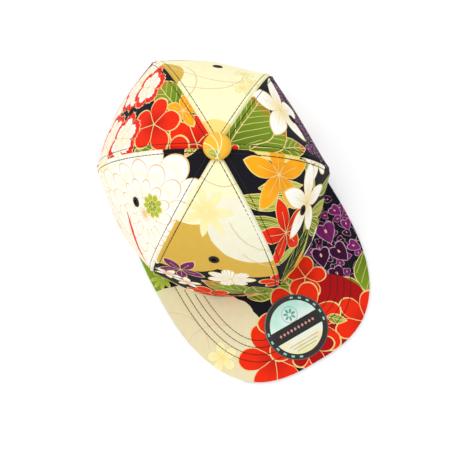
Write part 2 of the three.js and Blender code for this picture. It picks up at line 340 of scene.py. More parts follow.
def blossoms(cloth, place, at, size, cell, squash=1.0, turn=0.0):      # a cluster of petal hearts
    cells = place.node("ShaderNodeTexVoronoi", {"voronoi_dimensions": "2D"},
                       {"Vector": place, "Scale": 1 / cell, "Randomness": 0.5})
    centre = Wire(cells.tree, cells.socket.node.outputs["Position"])
    where = placed(centre, at, size, turn, squash).length() < 1
    tint, spin = Wire(cells.tree, cells.socket.node.outputs["Color"]).parts()
    near = place.node("ShaderNodeVectorRotate", {"rotation_type": "Z_AXIS"},
                      {"Vector": place.less(centre), "Angle": spin * 6.3})
    near = placed(near, (0, 0), cell * 0.38)
    colour = petalHeart(cloth, near, where, "purple")
    return colour.mix(petalHeart(cloth, near, where, "deepPurple"), tint > 0.55)


def printedCloth(name, ground, layout, drift=1.2):      # drift: how far a drawn line wanders
    material, bench, surface = newShade(name)
    flat = clothPlace(bench)
    hand = flat.node("ShaderNodeTexNoise", {"noise_dimensions": "2D"},
                     {"Vector": flat, "Scale": 0.09, "Detail": 1.0}, out=1)
    place = flat.node("ShaderNodeVectorMath", {"operation": "MULTIPLY_ADD"},
                      {0: hand.less((0.5, 0.5, 0.5)), 1: (drift, drift, 0), 2: flat})
    cloth = plainInk(bench, inks[ground])
    for motif, options in layout:
        cloth = motif(cloth, place, **options)
    finishCloth(surface, cloth, flat)
    return material


def plainCloth(name, colour, pitch=0.55, roughness=0.85, rows=None):      # rows: an ink and a pitch
    material, bench, surface = newShade(name)
    flat = clothPlace(bench)
    cloth = plainInk(bench, colour)
    if rows:
        x, y = flat.parts()
        cloth = cloth.mix(rows[0], ((y * (2 * pi / rows[1])).sine() > 0.55) * 0.6)
    finishCloth(surface, cloth, flat, pitch, roughness, 0.1)
    return material


def spunThread(name, colour):
    material, bench, surface = newShade(name)
    place = objectPlace(bench)
    x, y = place.parts()
    fuzz = clouds(place, 1800.0, 2.0)
    feed(surface, {
        "Base Color": plainInk(bench, colour).mix((0.07, 0.06, 0.05, 1), fuzz * 0.3),
        "Roughness": fuzz * 0.25 + 0.5, "Specular IOR Level": 0.15})
    bumped(surface, ((x + y) * 9000).sine() * 0.5 + fuzz, 0.08 * mm)
    return material


def mouldedPlastic(name, colour, grain=900.0, roughness=0.38):
    material, bench, surface = newShade(name)
    place = objectPlace(bench)
    grit = clouds(place, grain, 4.0)
    rubbed = clouds(place, 60.0, 5.0)
    pale = [min(c * 1.8 + 0.03, 1) for c in colour[:3]] + [1]
    feed(surface, {
        "Base Color": plainInk(bench, colour).mix(pale, (rubbed * 3 - 1.6).held() * 0.35),
        "Roughness": rubbed * 0.2 + (roughness - 0.1)})
    bumped(surface, grit, 0.04 * mm)
    return material


def stampedMetal(name):
    material, bench, surface = newShade(name)
    place = objectPlace(bench)
    brushed = clouds(placed(place, (0, 0), 0.0004, 20, 12), 1.0, 3.0)
    dull = clouds(place, 400.0, 4.0)
    steel = plainInk(bench, (0.52, 0.53, 0.54, 1))
    feed(surface, {
        "Base Color": steel.mix((0.3, 0.29, 0.27, 1), dull * 0.5), "Roughness": dull * 0.2 + 0.25,
        "Metallic": 1.0})
    bumped(surface, brushed + dull * 0.5, 0.03 * mm)
    return material


# The print on each panel. A motif is written with its own values in the order given here, and x
# runs to the right and y down from the top, in millimetres.
def writing(motif, *order, **usual):
    def written(*values, **more):
        return motif, {**usual, **dict(zip(order, values)), **more}
    return written


def peony(at, size, turn, petals):
    return flower, dict(at=at, size=size, turn=turn, fill="white", deep="cream", petals=petals,
                        inner=0.72, sharp=0.5, ripple=0.05, rim=4.6 / size, hatch=12 * petals,
                        line="softLine", width=0.4)


spot = writing(disc, "at", "size", "fill")
curve = writing(arc, "at", "size", "turn", "span")
frond = writing(leaf, "at", "size", "turn", "width", tip="rust")
blade = writing(leaf, "at", "size", "turn", "fill", fill="lime", width=0.22, along=True, stroke=0.3)
lily = writing(flower, "at", "size", "turn", "fill", "deep", inner=0.2, sharp=0.6, point=0.42, width=0.55)
bloom = writing(flower, "at", "size", "turn", fill="red", deep="deepRed", inner=0.5, width=0.6)
posy = writing(flower, "at", "size", "fill", "deep", "petals", "inner")
ghost = writing(flower, "at", "size", "turn", fill="ghost", deep="paleGold", width=0.3)
rosette = writing(mum, "at", "size", "petals", "rings")
petal = writing(heart, "at", "size", "turn", "fill")
cluster = writing(blossoms, "at", "size", "cell", "squash")
prints = {
    "front_right": ("ivory", [
        spot((0, 112), 60, "black", squash=0.52), spot((0, 150), 70, "black", squash=0.6),
        spot((-22, 60), 31, "gold"), spot((25, 58), 30, "gold"), spot((3, 70), 12, "gold"),
        spot((-17, 30), 17.5, "ivory"), spot((22, 41), 29.5, "paleIvory"),
        spot((6, 12), 16, "ivory"), spot((-43, 40), 15, "ivory"),
        lily((-7, 38), 16, 150, "ghost", "paleGold", petals=7, line="cream", width=0.3),
        curve((34, 30), 30, 110), curve((40, 40), 34, 95, 0.25), curve((2, 0), 22, 80, 0.35),
        lily((-24, 92), 17, 15, "purple", "deepPurple"), bloom((42, 96), 13, 40),
        frond((10, 112), 22, -155, 0.5), frond((34, 128), 24, 70, 0.4),
        posy((10, 93), 16, "white", "cream", 7, 0.6, hatch=30, squash=0.75),
        lily((-34, 106), 11, 10, "white", "red"), lily((-20, 115), 11, 50, "white", "red"),
        bloom((-3, 132), 17, 30), bloom((22, 148), 14), frond((-38, 138), 20, 30, 0.4),
        lily((-20, 148), 13, 0, "white", "paleGold"),
    ]),
    "front_left": ("black", [
        spot((41, 22), 31, "paleGold"), spot((24, 3), 16, "paleGold"),
        blade((-9, 42), 22, 60), blade((-20, 48), 18, 65, "green"), blade((4, 46), 18, 55),
        blade((24, 64), 16, 110, "green"), blade((18, 108), 28, 62), blade((-8, 96), 20, 120),
        blade((4, 112), 30, 82, "green"), blade((36, 104), 26, 50, "green"), blade((-26, 78), 15, 30),
        lily((36, 66), 16, 25, "white", "paleGold"),
        frond((-20, 95), 24, -8, 0.42, fill="black", deep="black", tip=None, line="lime", stroke=0.6),
        lily((-31, 122), 22, 20, "orange", "amber"), lily((-3, 136), 20, 5, "white", "pink"),
        frond((24, 138), 22, 35, 0.45, fill="brownGold", tip="amber", deep="brown"),
        lily((40, 128), 15, 0, "purple", "deepPurple"), lily((-17, 64), 23, 18, "red", "deepRed"),
        lily((8, 40), 24, 40, "orange", "amber"), lily((8, 73), 26, -32, "white", "paleGold"),
    ]),
    "side_left": ("black", [
        frond((-3, 16), 20, 82, 0.8, tip=None), frond((-19, 43), 15, 104, 0.5),
        frond((-7, 34), 18, 80, 0.6), frond((10, 28), 23, 62, 0.8, veins=3.6),
        spot((-5, 9), 2.2, "red", line="line", width=0.3),
        cluster((-8, 104), 48, 8.5, 0.92), cluster((34, 96), 14, 8.5, 1.6),
        lily((-31, 143), 19, 0, "white", "paleGold"), lily((10, 147), 18, 30, "white", "paleGold"),
        lily((28, 134), 15, 12, "white", "cream"),
        frond((44, 148), 15, 60, 0.5, fill="brownGold", tip="brown"),
        lily((8, 59), 27, 20, "white", "paleGold", inner=0.3),
    ]),
    "back_left": ("ivory", [
        spot((0, 0), 18, "paleGold"), spot((38, 58), 18, "gold"), spot((46, 46), 14, "cream"),
        curve((10, 72), 30, -125, 0.5), curve((-2, 95), 42, -80, 0.25), curve((38, 50), 26, 170, 0.35),
        ghost((-17, 49), 6.5, 20), ghost((-23, 58), 5.5), ghost((-20, 71), 6.5, 50),
        rosette((8, 128), 36, 18, 5, fill="ivory", squash=0.85),
        lily((-44, 146), 23, 15, "purple", "deepPurple"),
        bloom((46, 152), 20, 35), frond((34, 140), 19, -20, 0.45),
    ]),
    "back_right": ("black", [
        frond((-14, 46), 20, 112, 0.55), frond((30, 44), 17, 50, 0.5),
        spot((0, 150), 70, "deepRed", squash=0.5), bloom((4, 12), 20, 20), bloom((20, 26), 17, 60),
        lily((-10, 30), 13, 10, "orange", "amber", inner=0.35), bloom((6, 45), 19, 20),
        peony((-6, 138), 40, 12, 8), peony((30, 102), 28, 5, 7), peony((22, 72), 20, -8, 6),
        peony((-22, 92), 27, 25, 7), peony((-17, 72), 17, 0, 6),
    ]),
    "side_right": ("black", [
        frond((-8, 13), 7, 60, 0.45), spot((-36, 78), 27, "ivory"),
        rosette((0, 128), 62, 22, 6, squash=0.7), rosette((10, 66), 50, 14, 4, turn=8),
        posy((9, 55), 8, "lime", "green", 9, 0.7), posy((9, 55), 4, "green", "lime", 7, 0.5, width=0.3),
        frond((22, 105), 28, 38, 0.06, fill="red", deep="red", tip=None, line="red", veins=0.0),
    ]),
    "brim_upper": ("black", [
        cluster((62, 98), 40, 8.0, 0.85, turn=70), spot((-95, 133), 74, "sand", squash=0.96),
        spot((-80, 36), 27, "green"), posy((-74, 56), 9, "lime", "green", 9, 0.1, width=0.4),
        spot((-38, 112), 14.5, "sand"), spot((-45, 127), 17, "sand"), spot((-60, 146), 20, "sand"),
        ghost((-62, 133), 12), curve((-66, 134), 28, -100, 0.5), curve((-95, 110), 30, -20),
        frond((-10, 106), 13, 20, 0.4, tip="lime"), frond((6, 112), 14, 70, 0.4, tip="lime"),
        frond((16, 106), 12, 100, 0.4, tip="lime"),
        frond((-34, 91), 27, 32, 0.1, fill="red", deep="red", tip=None, veins=0.0),
        frond((74, 137), 22, 100, 0.6, veins=2.6), frond((44, 138), 21, -140, 0.75, veins=3.6),
        petal((60, 88), 12, 8, "purple"), petal((76, 76), 7, -20, "purple"),
        petal((78, 90), 6, 10, "purple"), petal((46, 103), 11, 20), petal((61, 107), 11, -12),
        petal((34, 117), 10, 40), petal((50, 121), 9, 5), petal((74, 108), 7, -40, "purple"),
        petal((45, 84), 7, 30, "purple"), spot((24, 150), 38, "deepRed"),
        bloom((26, 111), 17, 15), bloom((50, 164), 25, 10, petals=6),
        bloom((-26, 153), 29, 25, petals=6), bloom((4, 141), 34, 5, petals=7),
        bloom((2, 156), 20, 30, petals=6, fill="deepRed", deep="red"),
        frond((31, 151), 8, 40, 0.45, tip="lime"),
    ]),
    "brim_lower": ("black", [
        cluster((-52, 90), 40, 8.0, 0.8, turn=20), petal((-58, 84), 12, 10, "purple"),
        petal((-44, 100), 11, -20), petal((-66, 104), 10, 30), bloom((40, 128), 34, 5, petals=7),
        frond((0, 128), 24, 60, 0.5), lily((-24, 140), 26, 0, "white", "paleGold"),
        lily((66, 84), 22, 0, "orange", "amber"), rosette((-62, 130), 26, 16, 4),
        frond((60, 108), 15, 150, 0.45),
    ]),
    "button": ("paleGold", [
        spot((0, 0), 14, "button"), frond((-4.5, -4), 5, 130, 0.42, fill="lime", tip=None, stroke=0.2),
        curve((-15, 3), 15.5, line="ivory", width=0.25),
        curve((-12, 8), 17, -20, line="ivory", width=0.25),
        curve((-20, -5), 17, 15, line="ivory", width=0.25),
    ]),
}
shades = {name: printedCloth(name + "_print", *layout) for name, layout in prints.items()}
shades["reverse"] = plainCloth("cloth_reverse", (0.62, 0.56, 0.44, 1))
shades["tape"] = plainCloth("seam_tape_twill", inks["tape"], 0.9)
shades["band"] = plainCloth("sweatband_twill", (0.016, 0.016, 0.019, 1), 1.1)
shades["lining"] = plainCloth("interlining_felt", (0.62, 0.58, 0.5, 1), 1.6, 0.95)
shades["buckram"] = plainCloth("buckram_mesh", (0.74, 0.71, 0.63, 1), 1.4, 0.8)
shades["satin"] = plainCloth("label_satin", (0.82, 0.81, 0.78, 1), 0.4, 0.5, ((0.62, 0.62, 0.62, 1), 1.2))
shades["thread"] = spunThread("dark_thread", (0.018, 0.014, 0.012, 1))
shades["bandThread"] = spunThread("pale_thread", (0.6, 0.55, 0.42, 1))
shades["snap"] = mouldedPlastic("snap_plastic", (0.012, 0.012, 0.013, 1))
shades["board"] = mouldedPlastic("board_plastic", (0.68, 0.71, 0.74, 1), 500.0, 0.45)
shades["metal"] = stampedMetal("button_metal")
print("materials made:", len(shades))


# The crown's surface, in the frame's place. The angle is 0 in front and pi behind, and the fall is
# 0 at the top and pi / 2 at the rim.
crown = {
    "halfWidth": 87 * mm, "halfLength": 103 * mm, "height": 110 * mm, "lean": -20 * mm,
    "rise": 2.4, "spreadBack": 2.26, "spreadFront": 2.32, "crease": 0.95, "holeRadius": 2.8 * mm,
}
seamAngles = np.radians([0, 58.4, 119.7, 180, 240.3, 301.6, 360])
sides = ["front_left", "side_left", "back_left", "back_right", "side_right", "front_right"]
brim = {
    "halfWidth": 84 * mm, "rootY": -50 * mm, "reach": 121 * mm, "power": 2.83,
    "heelY": -30 * mm, "heelHalfWidth": 83.2 * mm, "innerDepth": 2.5 * mm, "thick": 0.5 * mm,
    "top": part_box("brim_upper_cover")[1].z, "stitchRows": (15, 20.4, 25.8, 31.2), "tuck": 0.5 * mm,
    "columns": 401, "rows": 54, "edgeSteps": 8, "stitchDent": 0.2 * mm, "dentWidth": 0.8 * mm,
    "sway": 0.08 * mm, "clear": 0.35 * mm, "underGap": 0.02 * mm, "joinGap": 0.12 * mm,
}
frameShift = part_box("brim_upper_cover")[0].y + brim["reach"] - brim["rootY"]


def matched(*values):
    return np.broadcast_arrays(*[np.asarray(value, float) for value in values])


def unit(direction):
    return direction / np.linalg.norm(direction, axis=-1, keepdims=True)


def eased(value):
    share = np.clip(value, 0, 1)
    return share * share * (3 - 2 * share)


def runAlong(points):      # how far along its path each point lies
    return np.concatenate([[0], np.cumsum(np.linalg.norm(np.diff(points, axis=0), axis=-1))])


def pointAt(distance, along, table):
    return np.stack([np.interp(distance, along, column) for column in table.T], axis=-1)


def ovalRadius(angle, inset=0.0):
    return 1 / np.hypot(np.sin(angle) / (crown["halfWidth"] - inset),
                        np.cos(angle) / (crown["halfLength"] - inset))


def reachAt(angle, fall):      # how far from the middle the plain wall is
    return ovalRadius(angle) * np.sin(fall) ** (2 / crown["spreadBack"])


def fallOut(share):      # the fall at which the wall has gone that share of its way out
    return np.arcsin(share ** (crown["spreadBack"] / 2))


def fallAt(height):
    return np.arccos((np.clip(height, 0, crown["height"]) / crown["height"]) ** (crown["rise"] / 2))


def creaseAt(angle, fall):
    turned = np.mod(angle, 2 * pi)
    panel = np.clip(np.searchsorted(seamAngles, turned, side="right") - 1, 0, len(sides) - 1)
    across = (turned - seamAngles[panel]) / (seamAngles[panel + 1] - seamAngles[panel])
    facet = cos(pi / 6) / np.cos((across - 0.5) * pi / 3)
    fade = np.where(fall < pi / 4, 1, np.clip(np.sin(2 * fall), 0, 1))
    return 1 - crown["crease"] * fade * (1 - facet)


def crownPoint(angle, fall, depth=0.0):
    angle, fall, depth = matched(angle, fall, depth)
    spread = crown["spreadBack"] + (crown["spreadFront"] - crown["spreadBack"]) * (1 + np.cos(angle)) / 2
    sinFall = np.clip(np.sin(fall), 1e-9, 1)
    drop = np.clip(np.cos(fall), 0, 1)
    rise = drop ** (2 / crown["rise"])
    radius = ovalRadius(angle) * sinFall ** (2 / spread) * creaseAt(angle, fall)
    outX = np.sin(angle) / crown["halfWidth"] ** 2
    outY = -np.cos(angle) / crown["halfLength"] ** 2
    flat = spread / ovalRadius(angle) * sinFall ** (2 - 2 / spread) / np.hypot(outX, outY)
    outZ = crown["rise"] / crown["height"] * drop ** (2 - 2 / crown["rise"])
    outward = unit(np.stack([outX * flat, outY * flat, outZ], axis=-1))
    wall = [radius * np.sin(angle), crown["lean"] * rise + frameShift - radius * np.cos(angle),
            crown["height"] * rise]
    return np.stack(wall, axis=-1) - outward * depth[..., None]


def wallPoint(x, z, depth):      # a point of the wall behind, found by its x and z
    x, z, depth = matched(x, z, depth)
    angle = pi - np.arcsin(np.clip(x / crown["halfWidth"], -0.9, 0.9))
    fall = fallAt(z)
    step = 1e-4
    for _ in range(25):
        here = crownPoint(angle, fall, depth)
        alongX = (crownPoint(angle + step, fall, depth)[..., 0] - here[..., 0]) / step
        downZ = (crownPoint(angle, fall - step, depth)[..., 2] - here[..., 2]) / step
        angle = angle + np.clip((x - here[..., 0]) / alongX, -0.1, 0.1)
        fall = np.clip(fall - np.clip((z - here[..., 2]) / downZ, -0.1, 0.1), 0.02, pi / 2)
    return crownPoint(angle, fall, depth)


softness = {
    "groove": 1.15 * mm, "grooveWidth": 0.9 * mm, "shoulder": 0.3 * mm, "shoulderAt": 1.7 * mm,
    "stitchDent": 0.25 * mm, "dentWidth": 0.55 * mm, "stitchAt": 3.0 * mm, "sag": 0.7 * mm,
    "pucker": 0.07 * mm, "puckerAt": 2.4 * mm, "puckerWidth": 2.2 * mm, "puckerPitch": 3.565 * mm,
}


# How far the sewn cloth lies in from the plain shape: seam grooves, stitch dents and soft waves.
def clothDepth(angle, fall):
    angle, fall = matched(angle, fall)
    toSeam = np.min(np.abs(np.mod(angle, 2 * pi)[..., None] - seamAngles), axis=-1) * reachAt(angle, fall)
    depth = softness["groove"] * np.exp(-(toSeam / softness["grooveWidth"]) ** 2)
    depth -= softness["shoulder"] * np.exp(-((toSeam - softness["shoulderAt"]) / mm) ** 2)
    dent = (toSeam - softness["stitchAt"]) / softness["dentWidth"]
    depth += softness["stitchDent"] * np.exp(-dent ** 2)
    ripple = np.cos(fall * crown["height"] / softness["puckerPitch"] * 2 * pi)
    pucker = (toSeam - softness["puckerAt"]) / softness["puckerWidth"]
    depth += softness["pucker"] * ripple * np.exp(-pucker ** 2)
    stiff = 0.35 + 0.65 * (1 - np.cos(angle)) / 2       # the front panels are stiffened
    waves = np.sin(3.1 * angle + 2.3 * fall + 0.7) * np.sin(4.3 * fall - 0.9 * angle + 0.4)
    waves = waves + 0.5 * np.sin(7.3 * angle - 1.9) * np.sin(6.1 * fall + 1.1)
    return depth + softness["sag"] * stiff * waves * np.clip(np.sin(2 * fall) + 0.15, 0, 1)


def sewnPoint(angle, fall, depth=0.0):
    return crownPoint(angle, fall, depth + clothDepth(angle, fall))


def directions(angle, fall, nudge=0.01):      # along the wall, and out of it
    along = crownPoint(angle + nudge, fall) - crownPoint(angle - nudge, fall)
    down = crownPoint(angle, fall + nudge) - crownPoint(angle, fall - nudge)
    return unit(along), unit(np.cross(down, along))


# Modelling steps that several pieces share.
def nothingSelected():
    bpy.ops.object.select_all(action="DESELECT")


def only(piece):
    nothingSelected()
    piece.select_set(True)
    bpy.context.view_layer.objects.active = piece


def applied():
    bpy.ops.object.transform_apply(location=True, rotation=True, scale=True)
    return bpy.context.object


def flatOf(points):      # arc lengths along the rows and up the middle column, in millimetres
    rows, columns = points.shape[:2]
    steps = np.linalg.norm(np.diff(points, axis=1), axis=-1)
    across = np.concatenate([np.zeros((rows, 1)), np.cumsum(steps, axis=1)], axis=1)
    across -= across[:, -1:] / 2
    rise = runAlong(points[:, columns // 2])
    return np.stack([across, np.broadcast_to(rise[:, None], across.shape)], axis=-1) / mm


# A grid whose points are moved to `points`: rows from the bottom up, and columns to the right as
# seen from the good side. `flat` is each point's place on the flat cloth, in millimetres.
def gridPiece(name, points, flat=None, closed=False):
    rows, columns = points.shape[:2]
    nothingSelected()
    bpy.ops.mesh.primitive_grid_add(x_subdivisions=columns - 1, y_subdivisions=rows - 1, size=1)
    piece = bpy.context.object
    piece.name = name
    mesh = piece.data
    mesh.name = name
    mesh.vertices.foreach_set("co", np.ascontiguousarray(points, dtype=np.float32).reshape(-1))
    if flat is None:
        flat = flatOf(points)
    corners = np.empty(len(mesh.loops), dtype=np.int32)
    mesh.loops.foreach_get("vertex_index", corners)
    uv = np.asarray(flat, dtype=np.float32).reshape(-1, 2)[corners] / 100
    mesh.uv_layers[0].data.foreach_set("uv", uv.reshape(-1))
    mesh.update()
    if closed:
        only(piece)
        bpy.ops.object.mode_set(mode="EDIT")
        bpy.ops.mesh.select_all(action="SELECT")
        bpy.ops.mesh.remove_doubles(threshold=0.01 * mm)
        bpy.ops.object.mode_set(mode="OBJECT")
    return piece


def modify(piece, kind, **settings):
    only(piece)
    step = piece.modifiers.new(kind.lower(), kind)
    for name, value in settings.items():
        setattr(step, name, value)
    bpy.ops.object.modifier_apply(modifier=step.name)


def thicken(piece, thickness, side=-1, lined=False):      # lined: the inner face takes the second cloth
    modify(piece, "SOLIDIFY", thickness=thickness, offset=side, use_even_offset=False,
           material_offset=1 if lined else 0)


def cutWith(piece, cutter):
    modify(piece, "BOOLEAN", operation="DIFFERENCE", solver="EXACT", object=cutter)
    bpy.data.objects.remove(cutter, do_unlink=True)


def drillAt(place, out, radius, depth=16 * mm, segments=32):
    nothingSelected()
    turn = Vector(out).to_track_quat("Z", "Y").to_euler()
    bpy.ops.mesh.primitive_cylinder_add(vertices=segments, radius=radius, depth=depth,
                                        location=place, rotation=turn)
    return applied()


def smooth(piece, angle=None):
    only(piece)
    if angle is None:
        bpy.ops.object.shade_smooth()
    else:
        bpy.ops.object.shade_smooth_by_angle(angle=radians(angle))


def wear(piece, *materials):
    piece.data.materials.clear()
    for material in materials:
        piece.data.materials.append(material)


def fit(piece, replaced=(), body="crown"):
    if body:
        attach(piece, body)
    if replaced:
        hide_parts(*replaced)


def declareCloth(flat, area):
    size = np.ptp(flat.reshape(-1, 2), axis=0) * mm
    share = max(min(area / (size[0] * size[1]), 1.0), 0.31)
    float(size[0] * size[1] * share)


# One piece of cloth, from the points of its outer face to the sheet that stands for `node`.
def clothPiece(name, points, node, slot, thick, *cloths, flat=None, side=-1, soft=50, cutters=(),
               kept=1.0, closed=False):
    if flat is None:
        flat = flatOf(points)
    piece = gridPiece(name, points, flat, closed)
    wear(piece, *cloths)
    area = kept * sum(face.area for face in piece.data.polygons)
    thicken(piece, thick, side, len(cloths) > 1)
    for cutter in cutters:
        cutWith(piece, cutter)
    smooth(piece, soft)
    fit(piece, [node])
    declareCloth(flat, area)


# Stitches.
stitch = {
    "length": 3.5 * mm, "width": 0.62 * mm, "height": 0.56 * mm, "pitch": 2.8 * mm, "sunk": 0.02 * mm,
    "span": 0.8 * mm,
}


def oneStitch():
    nothingSelected()
    bpy.ops.mesh.primitive_uv_sphere_add(segments=6, ring_count=4, radius=0.5)
    model = bpy.context.object
    places = np.array([vertex.co for vertex in model.data.vertices])
    faces = [list(face.vertices) for face in model.data.polygons]
    bpy.data.objects.remove(model, do_unlink=True)
    return places * (stitch["length"], stitch["width"], stitch["height"]), faces


stitchShape, stitchFaces = oneStitch()


# One mesh of stitches along each path; a path is its points and the directions out of the cloth.
def sewnRows(name, paths, thread, lift=-stitch["sunk"]):
    places = []
    for points, outs in paths:
        along = runAlong(points)
        count = int(along[-1] / stitch["pitch"])
        middle = (np.arange(count) + 0.5) * along[-1] / count
        behind, ahead = [pointAt(middle + end * stitch["span"], along, points) for end in (-0.5, 0.5)]
        forward = unit(ahead - behind)
        out = pointAt(middle, along, outs)
        out = unit(out - forward * np.sum(out * forward, axis=-1, keepdims=True))
        turned = np.stack([forward, np.cross(out, forward), out], axis=1)
        centre = pointAt(middle, along, points) + out * lift
        places.append((stitchShape @ turned + centre[:, None]).reshape(-1, 3))
    places = np.concatenate(places)
    faces = [[base + i for i in face] for base in range(0, len(places), len(stitchShape))
             for face in stitchFaces]
    mesh = bpy.data.meshes.new(name)
    mesh.from_pydata(places.tolist(), [], faces)
    piece = bpy.data.objects.new(name, mesh)
    bpy.context.collection.objects.link(piece)
    smooth(piece)
    wear(piece, thread)
    fit(piece)


# Crown panels.
panel = {
    "thick": 0.72 * mm, "columns": 66, "rows": 96, "hem": 0.5 * mm, "archShare": 0.85,
    "overBrim": brim["top"] + brim["clear"], "stepFrom": -27.0 * mm, "stepTo": -34.0 * mm,
}
arch = {
    "halfWidth": 42 * mm, "height": 50 * mm, "tapeWidth": 10 * mm, "tapeThick": 0.5 * mm,
    "tapeDepth": 1.25 * mm, "tapeFrom": 0.35 * mm, "tapeLow": 2.2 * mm, "puff": 0.15 * mm,
    "stitchRows": (1.6 * mm, 8 * mm), "stitchLow": 1.5 * mm, "insideDepth": 1.9 * mm,
}
eyelet = {
    "fall": radians(47), "ring": 2.35 * mm, "thread": 0.98 * mm, "hole": 2.0 * mm, "stitches": 36,
    "ridge": 0.07, "outer": 1.05, "inner": 0.75, "flat": 0.55, "lift": 0.05 * mm,
    "frontDeep": 1.9 * mm, "sideDeep": 0.9 * mm,
}


def overBrim(angle):      # 1 where the crown stands on the brim, and 0 behind it
    y = -np.cos(angle) * ovalRadius(angle)
    return eased((panel["stepFrom"] - y) / (panel["stepFrom"] - panel["stepTo"]))


def hemHeight(angle):
    return panel["hem"] + (panel["overBrim"] - panel["hem"]) * overBrim(angle)


def archCutter():
    spring = arch["height"] - arch["halfWidth"]
    nothingSelected()
    bpy.ops.mesh.primitive_cylinder_add(vertices=160, radius=arch["halfWidth"], depth=0.15,
                                        location=(0, frameShift + 0.08, spring), rotation=(pi / 2, 0, 0))
    cutter = applied()
    for vertex in cutter.data.vertices:      # the lower half runs straight down past the rim
        if vertex.co.z < spring - 0.1 * mm:
            vertex.co.x = arch["halfWidth"] * (1 if vertex.co.x > 0 else -1)
            vertex.co.z = min(vertex.co.z, spring) - 20 * mm
    return cutter


# Angles and falls over one panel, closer together at its seams and `setback` away from them.
def panelGrid(index, top, lowest=None, setback=0.0):
    start = seamAngles[index]
    width = seamAngles[index + 1] - start
    across = np.linspace(-1, 1, panel["columns"])
    share = 0.5 + 0.5 * (0.6 * np.sin(pi * across / 2) + 0.4 * across)
    angle = start + width * share
    low = fallAt(hemHeight(angle) if lowest is None else np.full_like(angle, lowest))
    rows = np.linspace(0, 1, panel["rows"])[:, None]
    fall = low * (1 - rows) + top * rows
    inner = np.clip(setback / reachAt(angle, fall), 0, width * 0.45)
    return start + inner + (width - 2 * inner) * share, fall


def eyeletPlace(index):
    angle = (seamAngles[index] + seamAngles[index + 1]) / 2
    return sewnPoint(angle, eyelet["fall"]), *directions(angle, eyelet["fall"])


def eyeletDrill(index, room=0.0):
    centre, along, out = eyeletPlace(index)
    return drillAt(centre, out, eyelet["hole"] + room)


def makePanel(index):
    name = sides[index] + "_panel"
    atBack = "back" in name
    points = sewnPoint(*panelGrid(index, fallOut(crown["holeRadius"] / crown["halfWidth"])))
    flat = flatOf(points)
    flat[..., 1] = flat[..., 1].max() + crown["holeRadius"] / mm - flat[..., 1]      # down from the top
    cutters = [archCutter()] if atBack else []
    clothPiece(name + "_cloth", points, name, "print_cloth", panel["thick"], shades[sides[index]],
               shades["reverse"], flat=flat, cutters=cutters + [eyeletDrill(index)],
               kept=panel["archShare"] if atBack else 1.0)


for index in range(len(sides)):
    makePanel(index)
print("panels made")


# Eyelets: threads worked round each hole.
def makeEyelet(index):
    name = sides[index] + "_eyelet"
    nothingSelected()
    bpy.ops.mesh.primitive_torus_add(major_segments=144, minor_segments=14, major_radius=eyelet["ring"],
                                     minor_radius=eyelet["thread"])
    ring = bpy.context.object
    ring.name = name + "_thread"
    centre, along, out = eyeletPlace(index)
    up = np.cross(out, along)
    deep = eyelet["frontDeep"] if "front" in name else eyelet["sideDeep"]
    for vertex in ring.data.vertices:
        x, y, z = vertex.co
        turn = atan2(y, x)
        ridge = 1 + eyelet["ridge"] * cos(eyelet["stitches"] * turn)
        radial = (hypot(x, y) - eyelet["ring"]) * ridge
        reach = eyelet["ring"] + radial * (eyelet["outer"] if radial > 0 else eyelet["inner"])
        rise = z * eyelet["flat"] * ridge - (deep if z < 0 else 0) + eyelet["lift"]
        vertex.co = Vector(centre + along * (reach * cos(turn)) + up * (reach * sin(turn)) + out * rise)
    smooth(ring)
    wear(ring, shades["thread"])
    fit(ring, [name])


for index in range(len(sides)):
    makeEyelet(index)
print("eyelets made")


# Stitches beside the seams outside, two rows to a seam.
seamRows = {
    "offset": 3.0 * mm, "top": radians(3.4), "overHem": 1.0 * mm, "overArch": 1.2 * mm,
    "names": ["front", "left_front", "left_back", "back", "right_back", "right_front"],
}


def seamPath(seam, offset, top, low, depth=0.0, inside=False):
    fall = np.linspace(top, low, 240)
    reach = reachAt(seamAngles[seam], fall)
    angle = seamAngles[seam] + offset / np.maximum(reach, abs(offset) * 1.02)
    along, out = directions(angle, fall)
    if inside:
        return crownPoint(angle, fall, depth), -out
    return sewnPoint(angle, fall, depth), out


for seam, seamName in enumerate(seamRows["names"]):
    lowest = hemHeight(seamAngles[seam]) + seamRows["overHem"]
    if seamName == "back":
        lowest = arch["height"] + seamRows["overArch"]
    rows = [seamPath(seam, side * seamRows["offset"], seamRows["top"], fallAt(lowest)) for side in (-1, 1)]
    sewnRows(seamName + "_seam_stitches", rows, shades["thread"])
print("seams sewn")


# Top button.
button = {
    "radius": 8.2 * mm, "skirt": 2.2 * mm, "dome": 4.2 * mm, "cloth": 0.45 * mm, "gap": 0.1 * mm,
    "full": 0.92, "steps": 28, "columns": 97, "folds": 24, "foldDepth": 0.16 * mm,
    "foldHeight": 1.8 * mm, "foldFrom": 6 * mm, "hem": [(1.6, 0.12), (0.6, 0.1)],
}


